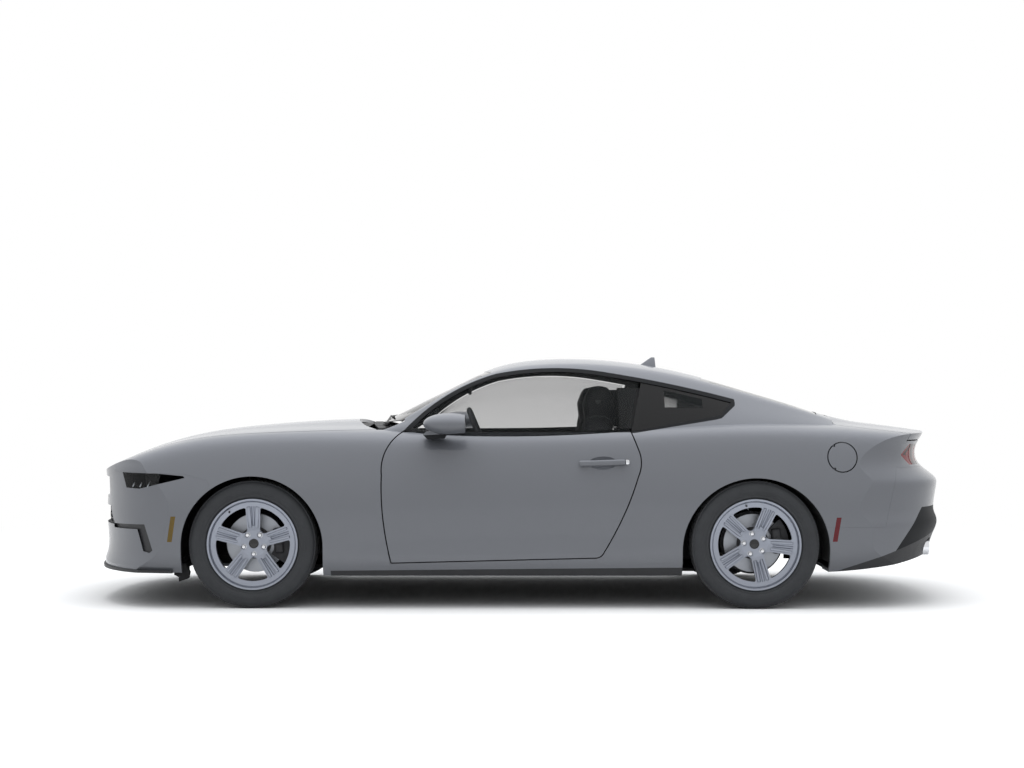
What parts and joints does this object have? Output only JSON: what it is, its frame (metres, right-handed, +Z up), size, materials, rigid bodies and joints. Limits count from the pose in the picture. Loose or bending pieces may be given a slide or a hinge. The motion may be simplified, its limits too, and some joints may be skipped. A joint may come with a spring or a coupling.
{
  "type": "two-door coupe car",
  "caption": "Full-size two-door fastback coupe with opening doors, hood, trunk lid and fuel door, steered front wheels and turning steering wheel.",
  "frame": {"origin": "on the road under the middle of the car's length and width", "axes": "+X towards the tail, +Y towards the car's right, +Z up"},
  "size_m": [4.8157, 2.179, 1.3717],
  "materials": {
    "body_paint": "metallic clear coat",
    "black_trim": "satin",
    "underbody": "matt",
    "glass": "tinted",
    "lamp": "clear cover over dark housing",
    "red_lamp": "red lens",
    "tyre": "matt",
    "alloy": "painted silver",
    "iron": "machined",
    "steel": "satin",
    "leather": "matt",
    "cabin_plastic": "grained"
  },
  "bodies": {
    "body": {"body_frame": "body_paint", "roof_panel": "body_paint", "front_fenders": "body_paint", "front_bumper": "body_paint", "grille": "black_trim", "front_splitter": "black_trim", "rear_bumper": "body_paint", "rear_diffuser": "black_trim", "side_skirts": "black_trim", "cowl_panel": "black_trim", "windshield": "glass", "rear_window": "glass", "quarter_windows": "glass", "headlamps": "lamp", "tail_lamps": "red_lamp", "side_markers": "red_lamp", "wipers": "black_trim", "roof_antenna": "body_paint", "floor_pan": "underbody", "bulkheads": "underbody", "wheel_liners": "black_trim", "front_seats": "leather", "rear_seat": "leather", "dashboard": "cabin_plastic", "engine": "iron", "exhaust": "steel", "front_suspension": "steel", "rear_suspension": "steel"},
    "hood": {"hood": "body_paint"},
    "trunk_lid": {"trunk_lid": "body_paint"},
    "fuel_door": {"fuel_door": "body_paint"},
    "steering_wheel": {"steering_wheel": "leather"},
    "door_left": {"door_left": "body_paint", "door_glass_left": "glass", "mirror_left": "body_paint", "door_handle_left": "body_paint"},
    "steering_knuckle_left": {"knuckle_front_left": "iron"},
    "wheel_front_left": {"tyre_front_left": "tyre", "wheel_front_left": "alloy", "brake_disc_front_left": "iron"},
    "wheel_rear_left": {"tyre_rear_left": "tyre", "wheel_rear_left": "alloy", "brake_disc_rear_left": "iron"},
    "door_right": {"door_right": "body_paint", "door_glass_right": "glass", "mirror_right": "body_paint", "door_handle_right": "body_paint"},
    "steering_knuckle_right": {"knuckle_front_right": "iron"},
    "wheel_front_right": {"tyre_front_right": "tyre", "wheel_front_right": "alloy", "brake_disc_front_right": "iron"},
    "wheel_rear_right": {"tyre_rear_right": "tyre", "wheel_rear_right": "alloy", "brake_disc_rear_right": "iron"}
  },
  "joints": [
    {"name": "door_left_swing", "type": "hinge", "parent": "body", "child": "door_left", "pos_m": [-0.665, -0.9015, 0.585], "axis": [0, 0, -1], "range_deg": [0, 66]},
    {"name": "steer_left", "type": "hinge", "parent": "body", "child": "steering_knuckle_left", "pos_m": [-1.455, -0.67475, 0.346], "axis": [0, 0.2179, 0.976], "range_deg": [-33, 33]},
    {"name": "spin_front_left", "type": "hinge", "parent": "steering_knuckle_left", "child": "wheel_front_left", "pos_m": [-1.455, -0.791, 0.346], "axis": [0, 1, 0], "continuous": true},
    {"name": "spin_rear_left", "type": "hinge", "parent": "body", "child": "wheel_rear_left", "pos_m": [1.264, -0.824, 0.346], "axis": [0, 1, 0], "continuous": true},
    {"name": "door_right_swing", "type": "hinge", "parent": "body", "child": "door_right", "pos_m": [-0.665, 0.9015, 0.585], "axis": [0, 0, 1], "range_deg": [0, 66]},
    {"name": "steer_right", "type": "hinge", "parent": "body", "child": "steering_knuckle_right", "pos_m": [-1.455, 0.67475, 0.346], "axis": [0, -0.2179, 0.976], "range_deg": [-33, 33]},
    {"name": "spin_front_right", "type": "hinge", "parent": "steering_knuckle_right", "child": "wheel_front_right", "pos_m": [-1.455, 0.791, 0.346], "axis": [0, 1, 0], "continuous": true},
    {"name": "spin_rear_right", "type": "hinge", "parent": "body", "child": "wheel_rear_right", "pos_m": [1.264, 0.824, 0.346], "axis": [0, 1, 0], "continuous": true},
    {"name": "steering_wheel_turn", "type": "hinge", "parent": "body", "child": "steering_wheel", "pos_m": [-0.225, -0.385, 0.9], "axis": [0.9272, 0, 0.3746], "range_deg": [-450, 450]},
    {"name": "hood_lift", "type": "hinge", "parent": "body", "child": "hood", "pos_m": [-0.765, 0, 0.925], "axis": [0, 1, 0], "range_deg": [0, 50]},
    {"name": "trunk_lift", "type": "hinge", "parent": "body", "child": "trunk_lid", "pos_m": [1.649, 0, 0.99], "axis": [0, -1, 0], "range_deg": [0, 72]},
    {"name": "fuel_door_swing", "type": "hinge", "parent": "body", "child": "fuel_door", "pos_m": [1.687, -0.90713, 0.818], "axis": [0, -0.2154, -0.9765], "range_deg": [0, 80]}
  ],
  "couplings": [
    {"joint": "steer_left", "follows": "steering_wheel_turn", "ratio": 0.0733},
    {"joint": "steer_right", "follows": "steering_wheel_turn", "ratio": 0.0733}
  ]
}
